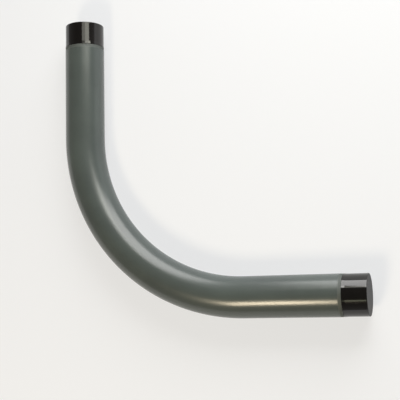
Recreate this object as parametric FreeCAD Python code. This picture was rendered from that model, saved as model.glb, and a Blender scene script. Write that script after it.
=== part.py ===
import FreeCAD, Part

import math
import os

from FreeCAD import Placement, Rotation, Vector

# A 90 degree elbow of rigid steel conduit, trade size 1 1/2, with a bonded PVC jacket and a
# closed plastic protector on each threaded end. It lies on its side: the bend is in a
# horizontal plane, leg 1 runs out along +X and leg 2 along +Y. All sizes are in millimetres.

os.makedirs("parts", exist_ok=True)

# Steel tube
STEEL_OD = 48.26
STEEL_WALL = 3.51
BEND_RADIUS = 209.55
BEND_ANGLE = 90.0
LEG_LENGTH = 147.5

# Tapered thread on each end: its crests lie on a cone that runs out into the tube's own surface
THREAD_LENGTH = 26.0
THREAD_TIP_DROP = 0.87
THREAD_TAPER = 1.0 / 16.0
NOSE_CHAMFER = 1.2
REAM_DEPTH = 1.4
REAM_WIDTH = 0.7

# Jacket, bonded to the tube between the threads and scraped down to a thin edge at both ends
COAT_THICKNESS = 1.02
BARE_STEEL = 1.0
SCRAPE_LENGTH = 4.0
SCRAPE_DEPTH = 0.32
COAT_EDGE_ROUND = 0.25

# Closed thread protectors, pushed on until the rim meets the jacket
CAP_CLEARANCE = 0.15
CAP_WALL = 0.80
CAP_FLOOR = 1.90
CAP_FLOOR_GAP = 0.30
CAP_LIP_LENGTH = 4.0
CAP_LIP_FLARE = 0.25
CAP_CORNER_BEVEL = 0.8
CAP_LIP_BEVEL = 0.2

# Worked out from the sizes above
steel_radius = STEEL_OD / 2
bore_radius = steel_radius - STEEL_WALL
coat_radius = steel_radius + COAT_THICKNESS
thread_tip_radius = steel_radius - THREAD_TIP_DROP / 2
thread_cone_length = THREAD_TIP_DROP / THREAD_TAPER
coat_setback = THREAD_LENGTH + BARE_STEEL
cap_rim_radius = steel_radius + CAP_CLEARANCE + CAP_WALL
cap_reach = CAP_FLOOR_GAP + CAP_FLOOR

# The elbow rests on its widest ring, and its box is centred over the origin
rest_radius = max(coat_radius, cap_rim_radius)
half_bend = math.radians(BEND_ANGLE) / 2
tangent_length = BEND_RADIUS * math.tan(half_bend)
arm = tangent_length + LEG_LENGTH + cap_reach
corner = Vector((rest_radius - arm) / 2, (rest_radius - arm) / 2, rest_radius)


def leg_direction(number):
    """Way out of leg 1 or leg 2, from the corner where the two centre lines would meet."""
    if number == 1:
        return Vector(1, 0, 0)
    angle = math.pi - math.radians(BEND_ANGLE)
    return Vector(math.cos(angle), math.sin(angle), 0)


def on_leg(number, distance):
    """Point on a leg's centre line, at a distance from the end of the bend."""
    return corner + leg_direction(number) * (tangent_length + distance)


def turned(points):
    """Solid of revolution about Z, from an outline of (radius, height) points."""
    corners = [Vector(radius, 0, height) for radius, height in points]
    outline = Part.makePolygon(corners + corners[:1])
    return Part.Face(outline).revolve(Vector(0, 0, 0), Vector(0, 0, 1), 360)


def fitted(shape, number):
    """Moves a shape turned about Z to a leg's end: height 0 is the steel's end face, +Z is out."""
    way_out = Rotation(Vector(0, 0, 1), leg_direction(number))
    return shape.transformed(Placement(on_leg(number, LEG_LENGTH), way_out).toMatrix())


def tube_core(radius, straight):
    """Round bar along the elbow's centre line, with a straight run on both sides of the bend."""
    start, bend_1 = on_leg(1, straight), on_leg(1, 0)
    bend_2, end = on_leg(2, 0), on_leg(2, straight)
    to_centre = (bend_1 + bend_2) / 2 - corner
    centre = corner + to_centre.normalize() * (BEND_RADIUS / math.cos(half_bend))
    middle = centre + (corner - centre).normalize() * BEND_RADIUS
    path = Part.Wire([
        Part.LineSegment(start, bend_1).toShape(),
        Part.Arc(bend_1, middle, bend_2).toShape(),
        Part.LineSegment(bend_2, end).toShape(),
    ])
    section = Part.Face(Part.Wire(Part.makeCircle(radius, start, leg_direction(1))))
    return path.makePipe(section)


def edges_at(shape, radius, height):
    """Circular edges of a turned shape at a radius and a height."""
    found = []
    for edge in shape.Edges:
        if not isinstance(edge.Curve, Part.Circle):
            continue
        at_height = abs(edge.Curve.Center.z - height) < 1e-6
        if at_height and abs(edge.Curve.Radius - radius) < 1e-6:
            found.append(edge)
    return found


def crest_radius(depth):
    """Radius of the thread's crests, at a depth back from the steel's end face."""
    return min(thread_tip_radius + depth * THREAD_TAPER / 2, steel_radius)


def thread_waste():
    """What the die turns off the outside of one end: the cone of the crests and the nose."""
    outside = steel_radius + STEEL_WALL
    nose_radius = thread_tip_radius - NOSE_CHAMFER * math.tan(math.radians(30))
    return turned([
        (nose_radius, 0),
        (crest_radius(NOSE_CHAMFER), -NOSE_CHAMFER),
        (steel_radius, -thread_cone_length),
        (outside, -thread_cone_length),
        (outside, STEEL_WALL),
        (nose_radius, STEEL_WALL),
    ])


def ream_waste():
    """Cone that the reamer takes out of the bore's mouth, so that no edge cuts the cable."""
    return turned([(0, -REAM_DEPTH), (bore_radius, -REAM_DEPTH), (bore_radius + REAM_WIDTH, 0), (0, 0)])


def steel_elbow():
    """Bent tube, with both ends turned for their threads and reamed."""
    solid = tube_core(steel_radius, LEG_LENGTH).cut(tube_core(bore_radius, LEG_LENGTH))
    for number in (1, 2):
        solid = solid.cut(fitted(thread_waste(), number))
        solid = solid.cut(fitted(ream_waste(), number))
    return solid


def scrape_waste():
    """Ring taken off the jacket beside its edge, as a long shallow bevel with a soft corner."""
    outside = coat_radius + COAT_THICKNESS
    edge_radius = coat_radius - SCRAPE_DEPTH
    corner_round = min(COAT_EDGE_ROUND, (COAT_THICKNESS - SCRAPE_DEPTH) / 2)
    return turned([
        (edge_radius - corner_round, -coat_setback),
        (edge_radius, -coat_setback - corner_round),
        (coat_radius, -coat_setback - SCRAPE_LENGTH),
        (outside, -coat_setback - SCRAPE_LENGTH),
        (outside, -coat_setback),
    ])


def pvc_coating():
    """Jacket on the tube, from the back of one thread to the back of the other."""
    straight = LEG_LENGTH - coat_setback
    solid = tube_core(coat_radius, straight).cut(tube_core(steel_radius, straight))
    for number in (1, 2):
        solid = solid.cut(fitted(scrape_waste(), number))
    return solid


def thread_protector(number):
    """Closed cap whose tapered bore follows the thread's crests and whose lip flares to the rim."""
    rim = -coat_setback
    top = cap_reach
    outside_radius = cap_rim_radius - CAP_LIP_FLARE
    outer = turned([
        (0, rim),
        (cap_rim_radius, rim),
        (outside_radius, rim + CAP_LIP_LENGTH),
        (outside_radius, top),
        (0, top),
    ])
    corner_bevel = min(CAP_CORNER_BEVEL, CAP_FLOOR / 2)
    outer = outer.makeChamfer(corner_bevel, edges_at(outer, outside_radius, top))
    lip_bevel = min(CAP_LIP_BEVEL, CAP_WALL / 3)
    outer = outer.makeChamfer(lip_bevel, edges_at(outer, cap_rim_radius, rim))
    bore = turned([
        (0, rim),
        (steel_radius + CAP_CLEARANCE, rim),
        (steel_radius + CAP_CLEARANCE, -thread_cone_length),
        (thread_tip_radius + CAP_CLEARANCE, CAP_FLOOR_GAP),
        (0, CAP_FLOOR_GAP),
    ])
    return fitted(outer.cut(bore), number)


def save(name, shape):
    """Checks that a piece is one sound solid and writes it to its file."""
    solid = shape.Solids[0]
    if len(shape.Solids) != 1 or not solid.isValid():
        raise ValueError(name + " is not one valid solid")
    solid.exportStep("parts/" + name + ".step")
    print(name, round(solid.Volume), "mm3,", len(solid.Faces), "faces")


save("steel_elbow", steel_elbow())
save("pvc_coating", pvc_coating())
for leg in (1, 2):
    save("thread_protector_%d" % leg, thread_protector(leg))
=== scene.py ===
import math

import bmesh
import bpy
from mathutils import Matrix, Quaternion, Vector


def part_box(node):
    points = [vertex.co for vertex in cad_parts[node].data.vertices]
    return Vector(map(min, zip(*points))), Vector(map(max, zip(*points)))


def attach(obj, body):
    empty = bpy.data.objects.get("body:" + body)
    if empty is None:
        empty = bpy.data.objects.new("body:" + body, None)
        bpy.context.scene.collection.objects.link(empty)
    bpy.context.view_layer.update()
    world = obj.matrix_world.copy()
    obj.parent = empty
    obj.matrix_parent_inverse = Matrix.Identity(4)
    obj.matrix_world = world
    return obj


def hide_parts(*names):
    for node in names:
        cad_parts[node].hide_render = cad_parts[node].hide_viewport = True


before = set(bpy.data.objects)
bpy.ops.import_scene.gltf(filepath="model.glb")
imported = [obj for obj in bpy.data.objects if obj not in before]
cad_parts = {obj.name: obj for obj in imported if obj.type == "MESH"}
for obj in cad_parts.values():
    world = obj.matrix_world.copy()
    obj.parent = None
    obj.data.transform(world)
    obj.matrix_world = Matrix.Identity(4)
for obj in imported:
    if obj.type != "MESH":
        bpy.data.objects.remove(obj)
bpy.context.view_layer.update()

# The elbow's tube: 1 1/2 inch rigid steel conduit. A welded steel tube is cut to length, bent round a
# shoe on its own centre line, reamed inside both mouths, cut with a tapered thread on both ends and
# dipped in molten zinc. Most of it is under the jacket and only its two ends can be seen.

MM = 0.001
STEEL_RADIUS = 24.13 * MM
BORE_RADIUS = 20.62 * MM
BEND_RADIUS = 209.55 * MM
BEND_ANGLE = math.radians(90)
THREAD_LENGTH = 26.0 * MM
THREAD_PITCH = 25.4 * MM / 11.5
THREAD_DEPTH = 1.767 * MM
THREAD_TAPER = 1 / 16
THREAD_TIP_RADIUS = 23.695 * MM
THREAD_RUN_OUT = 5.0 * MM
NOSE_LENGTH = 1.2 * MM
NOSE_RADIUS = 23.0 * MM
REAM_DEPTH = 1.4 * MM
REAM_RADIUS = BORE_RADIUS + 0.7 * MM

# How finely every turned piece is divided. A ring set FIRM away from an edge keeps the long face
# beside it shading as the plain cylinder that it is.
AROUND = 128
ROWS_A_PITCH = 24
BEND_STEP = math.radians(1.5)
MERGE_GAP = 0.001 * MM
FIRM = 0.4 * MM
SHARP_ANGLE = math.radians(30)

steel_low, steel_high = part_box("steel_elbow")
end_face = steel_high.x
leg_line = steel_low.y + STEEL_RADIUS
axis_height = (steel_low.z + steel_high.z) / 2
bend_centre = leg_line + BEND_RADIUS
straight_run = end_face - bend_centre
tube_length = 2 * straight_run + BEND_RADIUS * BEND_ANGLE


def linear(hex_colour):
    """An sRGB hex colour as linear light, with full alpha."""
    parts = [int(hex_colour[i:i + 2], 16) / 255 for i in (1, 3, 5)]
    return [p / 12.92 if p <= 0.04045 else ((p + 0.055) / 1.055) ** 2.4 for p in parts] + [1.0]


def add(tree, kind, inputs=None, **settings):
    """Adds a node. An input takes a plain value, another node's first output, or a socket."""
    node = tree.nodes.new(kind)
    for name, value in settings.items():
        setattr(node, name, value)
    for name, value in (inputs or {}).items():
        if isinstance(value, bpy.types.Node):
            value = value.outputs[0]
        if isinstance(value, bpy.types.NodeSocket):
            tree.links.new(value, node.inputs[name])
        else:
            node.inputs[name].default_value = value
    return node


def new_finish(name):
    """An empty node material with its shader, and the object's own coordinates to lay patterns by."""
    finish = bpy.data.materials.new(name)
    finish.use_nodes = True
    tree = finish.node_tree
    place = add(tree, "ShaderNodeTexCoord").outputs["Object"]
    return finish, tree, tree.nodes["Principled BSDF"], place


def dress(tree, shader, colour, roughness, relief):
    """Links a finish's colour, roughness and bump to its shader."""
    tree.links.new(colour, shader.inputs["Base Color"])
    tree.links.new(roughness, shader.inputs["Roughness"])
    tree.links.new(relief.outputs["Normal"], shader.inputs["Normal"])


def set_ramp(ramp, stops):
    """Gives a colour ramp its stops of position and hex colour, from the lowest up."""
    elements = ramp.color_ramp.elements
    for position, _ in stops[1:-1]:
        elements.new(position)
    for element, (position, colour) in zip(elements, stops):
        element.position = position
        element.color = linear(colour)


def way_out_along_leg(tree, place):
    """How far out a point lies on its own leg, which is X on leg 1 and Y on leg 2."""
    parts = add(tree, "ShaderNodeSeparateXYZ", {0: place})
    return add(tree, "ShaderNodeMath", {0: parts.outputs["X"], 1: parts.outputs["Y"]},
               operation="MAXIMUM")


def spread(start, stop, step):
    """Even steps from start up to, but not with, stop."""
    count = max(1, math.ceil(abs(stop - start) / step))
    return [start + (stop - start) * i / count for i in range(count)]


def spun(name, outline):
    """Skin turned about X from a closed outline of (distance along, radius) points."""
    shape = bmesh.new()
    rings = []
    for along, radius in outline:
        ring = []
        for i in range(AROUND):
            turn = 2 * math.pi * i / AROUND
            ring.append(shape.verts.new((along, radius * math.cos(turn), radius * math.sin(turn))))
        rings.append(ring)
    for ring, following in zip(rings, rings[1:] + rings[:1]):
        for i in range(AROUND):
            j = (i + 1) % AROUND
            shape.faces.new((ring[i], ring[j], following[j], following[i]))
    bmesh.ops.remove_doubles(shape, verts=shape.verts, dist=MERGE_GAP)
    bmesh.ops.recalc_face_normals(shape, faces=shape.faces)
    mesh = bpy.data.meshes.new(name)
    shape.to_mesh(mesh)
    shape.free()
    return mesh


def new_tree(name, sizes):
    """A geometry tree with named sizes as inputs. Gives the tree, its input and its output node."""
    tree = bpy.data.node_groups.new(name, "GeometryNodeTree")
    tree.interface.new_socket("Geometry", in_out="INPUT", socket_type="NodeSocketGeometry")
    tree.interface.new_socket("Finish", in_out="INPUT", socket_type="NodeSocketMaterial")
    for size in sizes:
        tree.interface.new_socket(size, in_out="INPUT", socket_type="NodeSocketFloat")
    tree.interface.new_socket("Geometry", in_out="OUTPUT", socket_type="NodeSocketGeometry")
    return tree, tree.nodes.new("NodeGroupInput"), tree.nodes.new("NodeGroupOutput")


def close_tree(tree, given, result, shape):
    """Ends a tree with plain mesh and the finish that it was given."""
    real = add(tree, "GeometryNodeRealizeInstances", {"Geometry": shape})
    dressed = add(tree, "GeometryNodeSetMaterial",
                  {"Geometry": real, "Material": given.outputs["Finish"]})
    tree.links.new(dressed.outputs[0], result.inputs["Geometry"])


def shaped(mesh, finish, steps):
    """Runs a mesh through trees, each with its sizes, and gives the result as a plain mesh."""
    raw = bpy.data.objects.new(mesh.name, mesh)
    bpy.context.collection.objects.link(raw)
    for tree, sizes in steps:
        step = raw.modifiers.new(tree.name, "NODES")
        step.node_group = tree
        for item in tree.interface.items_tree:
            if item.in_out == "INPUT" and item.name in sizes:
                step[item.identifier] = sizes[item.name]
            if item.in_out == "INPUT" and item.name == "Finish":
                step[item.identifier] = finish
    seen = raw.evaluated_get(bpy.context.evaluated_depsgraph_get())
    result = bpy.data.meshes.new_from_object(seen)
    bpy.data.objects.remove(raw)
    return result


def bend_tree():
    """Bends a straight tube that lies along X round a shoe, and puts it where the elbow lies."""
    sizes = ("Straight Run", "Bend Radius", "Bend Angle", "Bend Centre", "Height")
    tree, given, result = new_tree("bend_round_the_shoe", sizes)
    run = given.outputs["Straight Run"]
    radius = given.outputs["Bend Radius"]
    angle = given.outputs["Bend Angle"]
    centre = given.outputs["Bend Centre"]
    height = given.outputs["Height"]
    place = add(tree, "GeometryNodeInputPosition")
    parts = add(tree, "ShaderNodeSeparateXYZ", {0: place})
    past_run = add(tree, "ShaderNodeMath", {0: parts.outputs["X"], 1: run}, operation="SUBTRACT")
    unlimited = add(tree, "ShaderNodeMath", {0: past_run, 1: radius}, operation="DIVIDE")
    turn = add(tree, "ShaderNodeClamp", {"Value": unlimited, "Max": angle})
    bent = add(tree, "ShaderNodeMath", {0: turn, 1: radius}, operation="MULTIPLY")
    along = add(tree, "ShaderNodeMath", {0: past_run, 1: bent}, operation="SUBTRACT")
    reach = add(tree, "ShaderNodeMath", {0: parts.outputs["Y"], 1: radius}, operation="ADD")
    sine = add(tree, "ShaderNodeMath", {0: turn}, operation="SINE")
    cosine = add(tree, "ShaderNodeMath", {0: turn}, operation="COSINE")
    reach_x = add(tree, "ShaderNodeMath", {0: reach, 1: sine}, operation="MULTIPLY")
    along_x = add(tree, "ShaderNodeMath", {0: along, 1: cosine, 2: reach_x}, operation="MULTIPLY_ADD")
    reach_y = add(tree, "ShaderNodeMath", {0: reach, 1: cosine}, operation="MULTIPLY")
    along_y = add(tree, "ShaderNodeMath", {0: along, 1: sine}, operation="MULTIPLY")
    back_y = add(tree, "ShaderNodeMath", {0: reach_y, 1: along_y}, operation="SUBTRACT")
    new_x = add(tree, "ShaderNodeMath", {0: centre, 1: along_x}, operation="SUBTRACT")
    new_y = add(tree, "ShaderNodeMath", {0: centre, 1: back_y}, operation="SUBTRACT")
    new_z = add(tree, "ShaderNodeMath", {0: parts.outputs["Z"], 1: height}, operation="ADD")
    spot = add(tree, "ShaderNodeCombineXYZ", {"X": new_x, "Y": new_y, "Z": new_z})
    moved = add(tree, "GeometryNodeSetPosition",
                {"Geometry": given.outputs["Geometry"], "Position": spot})
    close_tree(tree, given, result, moved)
    return tree


def thread_tree():
    """Cuts a right-hand tapered thread into both ends of a tube that lies along X."""
    sizes = ("Tube Length", "Pitch", "Depth", "Tip Radius", "Taper", "Thread Length", "Run Out")
    tree, given, result = new_tree("cut_tapered_threads", sizes)
    tube = given.outputs["Tube Length"]
    pitch = given.outputs["Pitch"]
    depth = given.outputs["Depth"]
    tip = given.outputs["Tip Radius"]
    taper = given.outputs["Taper"]
    length = given.outputs["Thread Length"]
    run_out = given.outputs["Run Out"]
    place = add(tree, "GeometryNodeInputPosition")
    parts = add(tree, "ShaderNodeSeparateXYZ", {0: place})
    along, across, up = parts.outputs["X"], parts.outputs["Y"], parts.outputs["Z"]
    far_end = add(tree, "ShaderNodeMath", {0: tube, 1: along}, operation="SUBTRACT")
    from_end = add(tree, "ShaderNodeMath", {0: along, 1: far_end}, operation="MINIMUM")
    turn = add(tree, "ShaderNodeMath", {0: up, 1: across}, operation="ARCTAN2")
    turns = add(tree, "ShaderNodeMath", {0: turn, 1: 2 * math.pi}, operation="DIVIDE")
    pitches = add(tree, "ShaderNodeMath", {0: along, 1: pitch}, operation="DIVIDE")
    phase = add(tree, "ShaderNodeMath", {0: pitches, 1: turns}, operation="SUBTRACT")
    wave = add(tree, "ShaderNodeMath", {0: phase, 1: 0.5}, operation="PINGPONG")
    # a 60 degree V with its crest and root cut a little flat
    groove = add(tree, "ShaderNodeMapRange",
                 {"Value": wave, "From Min": 0.05, "From Max": 0.46, "To Min": 1.0, "To Max": 0.0})
    start = add(tree, "ShaderNodeMath", {0: length, 1: run_out}, operation="SUBTRACT")
    fade = add(tree, "ShaderNodeMapRange",
               {"Value": from_end, "From Min": start, "From Max": length, "To Min": depth, "To Max": 0.0})
    cut = add(tree, "ShaderNodeMath", {0: groove, 1: fade}, operation="MULTIPLY")
    slope = add(tree, "ShaderNodeMath", {0: taper, 1: 0.5}, operation="MULTIPLY")
    crest = add(tree, "ShaderNodeMath", {0: from_end, 1: slope, 2: tip}, operation="MULTIPLY_ADD")
    section = add(tree, "ShaderNodeCombineXYZ", {"Y": across, "Z": up})
    radius = add(tree, "ShaderNodeVectorMath", {0: section}, operation="LENGTH").outputs["Value"]
    surface = add(tree, "ShaderNodeMath", {0: crest, 1: radius}, operation="MINIMUM")
    floor_of_cut = add(tree, "ShaderNodeMath", {0: surface, 1: cut}, operation="SUBTRACT")
    root_limit = add(tree, "ShaderNodeMath", {0: crest, 1: depth}, operation="SUBTRACT")
    lowest = add(tree, "ShaderNodeMath", {0: root_limit, 1: floor_of_cut}, operation="MAXIMUM")
    new_radius = add(tree, "ShaderNodeMath", {0: lowest, 1: radius}, operation="MINIMUM")
    share = add(tree, "ShaderNodeMath", {0: new_radius, 1: radius}, operation="DIVIDE")
    new_y = add(tree, "ShaderNodeMath", {0: across, 1: share}, operation="MULTIPLY")
    new_z = add(tree, "ShaderNodeMath", {0: up, 1: share}, operation="MULTIPLY")
    spot = add(tree, "ShaderNodeCombineXYZ", {"X": along, "Y": new_y, "Z": new_z})
    moved = add(tree, "GeometryNodeSetPosition",
                {"Geometry": given.outputs["Geometry"], "Position": spot})
    close_tree(tree, given, result, moved)
    return tree


def settle(name, mesh, body, node):
    """Makes the finished mesh a piece that stands for a node and rides on its body."""
    mesh.name = name
    mesh.shade_smooth()
    mesh.set_sharp_from_angle(angle=SHARP_ANGLE)
    piece = bpy.data.objects.new(name, mesh)
    bpy.context.collection.objects.link(piece)
    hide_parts(node)
    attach(piece, body)


# Hot-dip galvanised steel: zinc frozen in flat crystals some 8 mm wide, each a slightly different
# dull grey with its own sheen, so the tube looks mottled. The cut thread is brighter and plainer.
ZINC_CRYSTAL = 8 * MM
ZINC_GRAIN = 1.2 * MM
TOOL_MARK = 0.3 * MM
CUT_STEEL_ROUGHNESS = 0.30

galvanised, tree, shader, place = new_finish("hot_dip_galvanised_steel")
crystals = add(tree, "ShaderNodeTexVoronoi", {"Vector": place, "Scale": 1 / ZINC_CRYSTAL}, feature="F1")
tone = add(tree, "ShaderNodeSeparateColor", {"Color": crystals.outputs["Color"]})
zinc = add(tree, "ShaderNodeValToRGB", {"Fac": tone.outputs["Red"]})
set_ramp(zinc, [(0.0, "#8F9394"), (1.0, "#B4B8B9")])
dullness = add(tree, "ShaderNodeMapRange",
               {"Value": tone.outputs["Green"], "To Min": 0.34, "To Max": 0.55})
grain = add(tree, "ShaderNodeTexNoise", {"Vector": place, "Scale": 1 / ZINC_GRAIN, "Detail": 3.0})
relief = add(tree, "ShaderNodeBump", {"Height": grain, "Strength": 0.25, "Distance": 0.05 * MM})
way_out = way_out_along_leg(tree, place)
threaded = add(tree, "ShaderNodeMath", {0: way_out, 1: end_face - THREAD_LENGTH},
               operation="GREATER_THAN")
metal = add(tree, "ShaderNodeMix", {0: threaded, 6: zinc, 7: linear("#B9BCBE")}, data_type="RGBA")
gloss = add(tree, "ShaderNodeMix", {0: threaded, 2: dullness, 3: CUT_STEEL_ROUGHNESS},
            data_type="FLOAT")
tool_marks = add(tree, "ShaderNodeTexNoise", {"W": way_out, "Scale": 1 / TOOL_MARK},
                 noise_dimensions="1D")
turned = add(tree, "ShaderNodeBump",
             {"Height": tool_marks, "Strength": 0.3, "Distance": 0.02 * MM, "Normal": relief})
shader.inputs["Metallic"].default_value = 1.0
dress(tree, shader, metal.outputs[2], gloss.outputs[0], turned)

bending = bend_tree()
threading = thread_tree()
bend_sizes = {"Straight Run": straight_run, "Bend Radius": BEND_RADIUS, "Bend Angle": BEND_ANGLE,
              "Bend Centre": bend_centre, "Height": axis_height}
thread_sizes = {"Tube Length": tube_length, "Pitch": THREAD_PITCH, "Depth": THREAD_DEPTH,
                "Tip Radius": THREAD_TIP_RADIUS, "Taper": THREAD_TAPER,
                "Thread Length": THREAD_LENGTH, "Run Out": THREAD_RUN_OUT}

thread_rows = spread(NOSE_LENGTH, THREAD_LENGTH, THREAD_PITCH / ROWS_A_PITCH)
bend_rows = spread(straight_run, tube_length - straight_run, BEND_RADIUS * BEND_STEP)
bend_rows.append(tube_length - straight_run)
outside = [(0.0, NOSE_RADIUS)]
outside += [(d, min(THREAD_TIP_RADIUS + d * THREAD_TAPER / 2, STEEL_RADIUS)) for d in thread_rows]
outside += [(THREAD_LENGTH, STEEL_RADIUS), (THREAD_LENGTH + FIRM, STEEL_RADIUS)]
far_outside = [(tube_length - d, radius) for d, radius in reversed(outside)]
outside += [(d, STEEL_RADIUS) for d in bend_rows]
bore = [(0.0, REAM_RADIUS), (REAM_DEPTH, BORE_RADIUS)]
far_bore = [(tube_length - d, radius) for d, radius in reversed(bore)]
bore += [(d, BORE_RADIUS) for d in bend_rows]
tube = spun("steel_tube", outside + far_outside + far_bore[::-1] + bore[::-1])
elbow = shaped(tube, galvanised, [(threading, thread_sizes), (bending, bend_sizes)])
settle("galvanised_elbow", elbow, "elbow", "steel_elbow")

# The jacket: soft grey PVC, about 1 mm thick, that the hot tube is dipped in, bonded to the zinc from
# the back of one thread to the back of the other. Beside each thread it is scraped down over 4 mm, so
# that the coupling's sleeve can slide over it.

COAT_RADIUS = 25.15 * MM
COAT_SETBACK = 27.0 * MM
SCRAPE_LENGTH = 4.0 * MM
SCRAPE_DEPTH = 0.32 * MM
SCRAPE_ROWS = 4
EDGE_ROUND = 0.25 * MM
EDGE_ROWS = 6
scrape_end = end_face - COAT_SETBACK - SCRAPE_LENGTH

# Plastisol PVC, cured in an oven: a dark grey-green skin with a semi-gloss, so that a lamp is a
# soft-edged streak in it. It ripples faintly along the tube, where it ran as it cooled, with tiny pits
# between. The scraped ring is dull.
COAT_CLOUD = 45 * MM
COAT_RIPPLE = 5 * MM
COAT_PIT = 0.5 * MM
RIPPLE_STRETCH = 0.08
SCRAPED_ROUGHNESS = 0.62

jacket_pvc, tree, shader, place = new_finish("dip_coated_grey_pvc")
cloud = add(tree, "ShaderNodeTexNoise", {"Vector": place, "Scale": 1 / COAT_CLOUD, "Detail": 4.0})
skin = add(tree, "ShaderNodeValToRGB", {"Fac": cloud})
set_ramp(skin, [(0.3, "#454C4B"), (0.7, "#4C5452")])
way_out = way_out_along_leg(tree, place)
scraped = add(tree, "ShaderNodeMapRange",
              {"Value": way_out, "From Min": scrape_end - 0.2 * MM, "From Max": scrape_end + 0.3 * MM})
ring = add(tree, "ShaderNodeMix", {0: scraped, 6: skin, 7: linear("#444A47")}, data_type="RGBA")
from_centre = add(tree, "ShaderNodeVectorMath", {0: place, 1: (bend_centre, bend_centre, 0.0)},
                  operation="SUBTRACT")
outward = add(tree, "ShaderNodeVectorMath", {0: from_centre, 1: (0.0, 0.0, 0.0)}, operation="MINIMUM")
across = add(tree, "ShaderNodeVectorMath", {0: outward}, operation="LENGTH")
parts = add(tree, "ShaderNodeSeparateXYZ", {0: place})
sweep = add(tree, "ShaderNodeMath", {0: parts.outputs["X"], 1: parts.outputs["Y"]},
            operation="SUBTRACT")
slow_sweep = add(tree, "ShaderNodeMath", {0: sweep, 1: RIPPLE_STRETCH}, operation="MULTIPLY")
runs = add(tree, "ShaderNodeCombineXYZ",
           {"X": across.outputs["Value"], "Y": parts.outputs["Z"], "Z": slow_sweep})
ripple = add(tree, "ShaderNodeTexNoise", {"Vector": runs, "Scale": 1 / COAT_RIPPLE, "Detail": 2.0})
pits = add(tree, "ShaderNodeTexNoise", {"Vector": place, "Scale": 1 / COAT_PIT, "Detail": 2.0})
sheen = add(tree, "ShaderNodeMapRange", {"Value": cloud, "To Min": 0.252, "To Max": 0.272})
gloss = add(tree, "ShaderNodeMix", {0: scraped, 2: sheen, 3: SCRAPED_ROUGHNESS}, data_type="FLOAT")
peel = add(tree, "ShaderNodeBump", {"Height": ripple, "Strength": 0.12, "Distance": 0.1 * MM})
relief = add(tree, "ShaderNodeBump",
             {"Height": pits, "Strength": 0.06, "Distance": 0.02 * MM, "Normal": peel})
shader.inputs["IOR"].default_value = 1.53
dress(tree, shader, ring.outputs[2], gloss.outputs[0], relief)

edge_radius = COAT_RADIUS - SCRAPE_DEPTH
round_turns = [math.radians(90) * i / EDGE_ROWS for i in range(EDGE_ROWS + 1)]
edge = [(COAT_SETBACK, STEEL_RADIUS)]
edge += [(COAT_SETBACK + EDGE_ROUND * (1 - math.sin(t)), edge_radius - EDGE_ROUND * (1 - math.cos(t)))
         for t in reversed(round_turns)]
edge += [(COAT_SETBACK + SCRAPE_LENGTH * i / SCRAPE_ROWS, edge_radius + SCRAPE_DEPTH * i / SCRAPE_ROWS)
         for i in range(1, SCRAPE_ROWS + 1)]
edge += [(COAT_SETBACK + SCRAPE_LENGTH + FIRM, COAT_RADIUS)]
far_edge = [(tube_length - d, radius) for d, radius in reversed(edge)]
skin_rows = [(d, COAT_RADIUS) for d in bend_rows]
under_rows = [(d, STEEL_RADIUS) for d in reversed(bend_rows)]
sleeve = spun("pvc_sleeve", edge + skin_rows + far_edge + under_rows)
jacket = shaped(sleeve, jacket_pvc, [(bending, bend_sizes)])
settle("grey_pvc_jacket", jacket, "elbow", "pvc_coating")

# The thread protectors: closed caps moulded in black polyethylene, pushed on over the threads at the
# works so that they stay clean and sharp. The rim flares a little and meets the jacket's scraped edge.

CAP_CLEARANCE = 0.15 * MM
CAP_WALL = 0.80 * MM
CAP_FLOOR = 1.90 * MM
CAP_FLOOR_GAP = 0.30 * MM
CAP_LIP_LENGTH = 4.0 * MM
CAP_LIP_FLARE = 0.25 * MM
CAP_CORNER = 0.8 * MM
CAP_LIP_EDGE = 0.2 * MM

# Low-density polyethylene from a polished mould: near black and glossy like a wet surface, so that
# it mirrors windows and floor in sharp bands. Its end face is a little duller, from a spark-cut mould.
CAP_SMEAR = 14 * MM
CAP_SPARK = 0.4 * MM
CAP_END_ROUGHNESS = 0.55

black_cap, tree, shader, place = new_finish("moulded_black_polyethylene")
smears = add(tree, "ShaderNodeTexNoise", {"Vector": place, "Scale": 1 / CAP_SMEAR, "Detail": 5.0})
tint = add(tree, "ShaderNodeValToRGB", {"Fac": smears})
set_ramp(tint, [(0.0, "#0E0D0C"), (1.0, "#151312")])
cap_end = end_face + CAP_FLOOR_GAP + CAP_FLOOR
end_side = add(tree, "ShaderNodeMapRange",
               {"Value": way_out_along_leg(tree, place),
                "From Min": cap_end - 0.5 * MM, "From Max": cap_end - 0.1 * MM})
polish = add(tree, "ShaderNodeMapRange", {"Value": smears, "To Min": 0.07, "To Max": 0.11})
gloss = add(tree, "ShaderNodeMix", {0: end_side, 2: polish, 3: CAP_END_ROUGHNESS}, data_type="FLOAT")
sparks = add(tree, "ShaderNodeTexNoise", {"Vector": place, "Scale": 1 / CAP_SPARK, "Detail": 1.0})
texture = add(tree, "ShaderNodeMath", {0: sparks, 1: end_side}, operation="MULTIPLY")
relief = add(tree, "ShaderNodeBump", {"Height": texture, "Strength": 0.2, "Distance": 0.03 * MM})
shader.inputs["IOR"].default_value = 1.51
dress(tree, shader, tint.outputs["Color"], gloss.outputs[0], relief)

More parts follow.
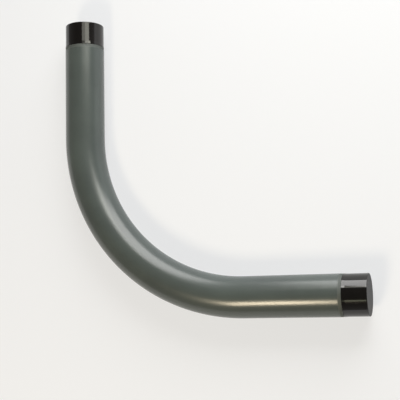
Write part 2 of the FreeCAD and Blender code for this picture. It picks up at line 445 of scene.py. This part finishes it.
rim_radius = STEEL_RADIUS + CAP_CLEARANCE + CAP_WALL
body_radius = rim_radius - CAP_LIP_FLARE
flare_near_end = CAP_LIP_FLARE * FIRM / (CAP_LIP_LENGTH - CAP_LIP_EDGE)
lip_end = CAP_LIP_LENGTH - COAT_SETBACK
cap_top = CAP_FLOOR_GAP + CAP_FLOOR
taper_length = (STEEL_RADIUS - THREAD_TIP_RADIUS) * 2 / THREAD_TAPER
cap_outline = [
    (-COAT_SETBACK, STEEL_RADIUS + CAP_CLEARANCE),
    (-COAT_SETBACK, rim_radius - CAP_LIP_EDGE),
    (-COAT_SETBACK + CAP_LIP_EDGE, rim_radius),
    (lip_end - FIRM, body_radius + flare_near_end),
    (lip_end, body_radius),
    (lip_end + FIRM, body_radius),
    (cap_top - CAP_CORNER - FIRM, body_radius),
]
cap_outline += [(cap_top - CAP_CORNER * (1 - math.sin(t)), body_radius - CAP_CORNER * (1 - math.cos(t)))
                for t in round_turns]
cap_outline += [
    (cap_top, body_radius - CAP_CORNER - FIRM),
    (cap_top, 0.0),
    (CAP_FLOOR_GAP, 0.0),
    (CAP_FLOOR_GAP, THREAD_TIP_RADIUS + CAP_CLEARANCE),
    (-taper_length, STEEL_RADIUS + CAP_CLEARANCE),
]

leg_ends = ((0, (end_face, leg_line, axis_height)), (90, (leg_line, end_face, axis_height)))
for number, (quarter, spot) in enumerate(leg_ends, start=1):
    cap = spun("cap", cap_outline)
    cap.transform(Matrix.Translation(spot) @ Matrix.Rotation(math.radians(quarter), 4, "Z"))
    cap.materials.append(black_cap)
    settle("black_thread_protector_%d" % number, cap, "protector_%d" % number,
           "thread_protector_%d" % number)

# The floor: a plain pale sheet with a soft shadow under the elbow. For the eye, gloss and glass it
# takes on the white of the studio's walls, more so further off, and this white throws no light.

FLOOR_REACH = 12.0
HAZE_FROM = 0.5
HAZE_TO = 1.3
NEAR_HAZE = 0.60
FAR_HAZE = 0.97

pale_sheet, tree, shader, place = new_finish("matt_white_laminate")
shader.inputs["Base Color"].default_value = linear("#D0D3D7")
shader.inputs["Roughness"].default_value = 0.8
shader.inputs["Specular IOR Level"].default_value = 0.2
distance = add(tree, "ShaderNodeVectorMath", {0: place}, operation="LENGTH")
haze = add(tree, "ShaderNodeMapRange",
           {"Value": distance.outputs["Value"], "From Min": HAZE_FROM, "From Max": HAZE_TO,
            "To Min": NEAR_HAZE, "To Max": FAR_HAZE})
path = add(tree, "ShaderNodeLightPath")
seen = add(tree, "ShaderNodeMath",
           {0: path.outputs["Is Camera Ray"], 1: path.outputs["Is Glossy Ray"]}, operation="MAXIMUM")
seen = add(tree, "ShaderNodeMath", {0: seen, 1: path.outputs["Is Transmission Ray"]},
           operation="MAXIMUM")
share = add(tree, "ShaderNodeMath", {0: haze, 1: seen}, operation="MULTIPLY")
wall = add(tree, "ShaderNodeEmission", {"Color": linear("#FFFFFF"), "Strength": 1.0})
blend = add(tree, "ShaderNodeMixShader", {0: share, 1: shader, 2: wall})
tree.links.new(blend.outputs[0], tree.nodes["Material Output"].inputs["Surface"])

sheet = bmesh.new()
bmesh.ops.create_circle(sheet, cap_ends=True, segments=96, radius=FLOOR_REACH)
floor_mesh = bpy.data.meshes.new("pale_floor")
sheet.to_mesh(floor_mesh)
sheet.free()
floor_mesh.materials.append(pale_sheet)
floor = bpy.data.objects.new("pale_floor", floor_mesh)
bpy.context.collection.objects.link(floor)

# The studio: pale low walls that darken to a dim ceiling, a tall window of soft light behind the
# elbow, three low panels over it that the jacket and the protectors mirror as pale bands, and a warm
# box overhead in front with a faint edge beside it.

studio = bpy.data.worlds.new("studio")
bpy.context.scene.world = studio
studio.use_nodes = True
tree = studio.node_tree
look = add(tree, "ShaderNodeTexCoord").outputs["Generated"]
parts = add(tree, "ShaderNodeSeparateXYZ", {0: look})
walls = add(tree, "ShaderNodeValToRGB", {"Fac": parts.outputs["Z"]})
set_ramp(walls, [(0.0, "#FFFFFF"), (0.12, "#8E8D8C"), (0.85, "#464646")])
tree.links.new(walls.outputs["Color"], tree.nodes["Background"].inputs["Color"])


def soft_light(name, spot, aim, size, watts, colour, lean=0.0):
    """A flat lamp of a given width and height that faces a point and leans over by some degrees."""
    lamp = bpy.data.lights.new(name, "AREA")
    lamp.shape = "RECTANGLE"
    lamp.size, lamp.size_y = size
    lamp.energy = watts
    lamp.color = linear(colour)[:3]
    holder = bpy.data.objects.new(name, lamp)
    holder.location = spot
    facing = (Vector(aim) - Vector(spot)).to_track_quat("-Z", "Y")
    leaning = facing @ Quaternion((0, 0, 1), math.radians(lean))
    holder.rotation_euler = leaning.to_euler()
    holder.visible_camera = False
    bpy.context.collection.objects.link(holder)


PANEL_HEIGHT = 0.60
PANEL_COLOUR = "#FFFEF0"

soft_light("window", spot=(0.45, 1.0, 0.72), aim=(0.45, 0.0, 0.72), size=(1.13, 1.25),
           watts=29.0, colour="#FFFEFC", lean=8.0)
for name, (x, y), size, watts, lean in (
        ("left_panel", (0.045, 0.37), (0.21, 0.12), 0.21, 10.0),
        ("right_panel", (0.35, 0.42), (0.43, 0.11), 0.70, 10.0),
        ("rim_panel", (0.485, 0.568), (0.735, 0.06), 1.1, 15.0)):
    soft_light(name, (x, y, PANEL_HEIGHT), (x, y, 0.0), size, watts, PANEL_COLOUR, lean)
soft_light("front_edge", spot=(0.0, -0.85, 1.20), aim=(0.0, -0.167, 0.03), size=(0.20, 0.17),
           watts=0.22, colour="#E2E9C6")
soft_light("front_box", spot=(-0.285, -0.99, 1.20), aim=(-0.285, -0.167, 0.03), size=(0.30, 0.38),
           watts=14.0, colour="#FFEDCD")

# The camera stands about a metre over the elbow, a little to the right, as the photograph's did.

camera_data = bpy.data.cameras.new("camera")
camera_data.lens = 76.78
camera_data.sensor_width = 36.0
camera = bpy.data.objects.new("camera", camera_data)
camera.location = (0.3326, -0.1637, 1.0131)
camera.rotation_euler = [math.radians(angle) for angle in (5.95, 19.29, -1.29)]
bpy.context.collection.objects.link(camera)
bpy.context.scene.camera = camera

bpy.context.scene.view_settings.view_transform = "Standard"
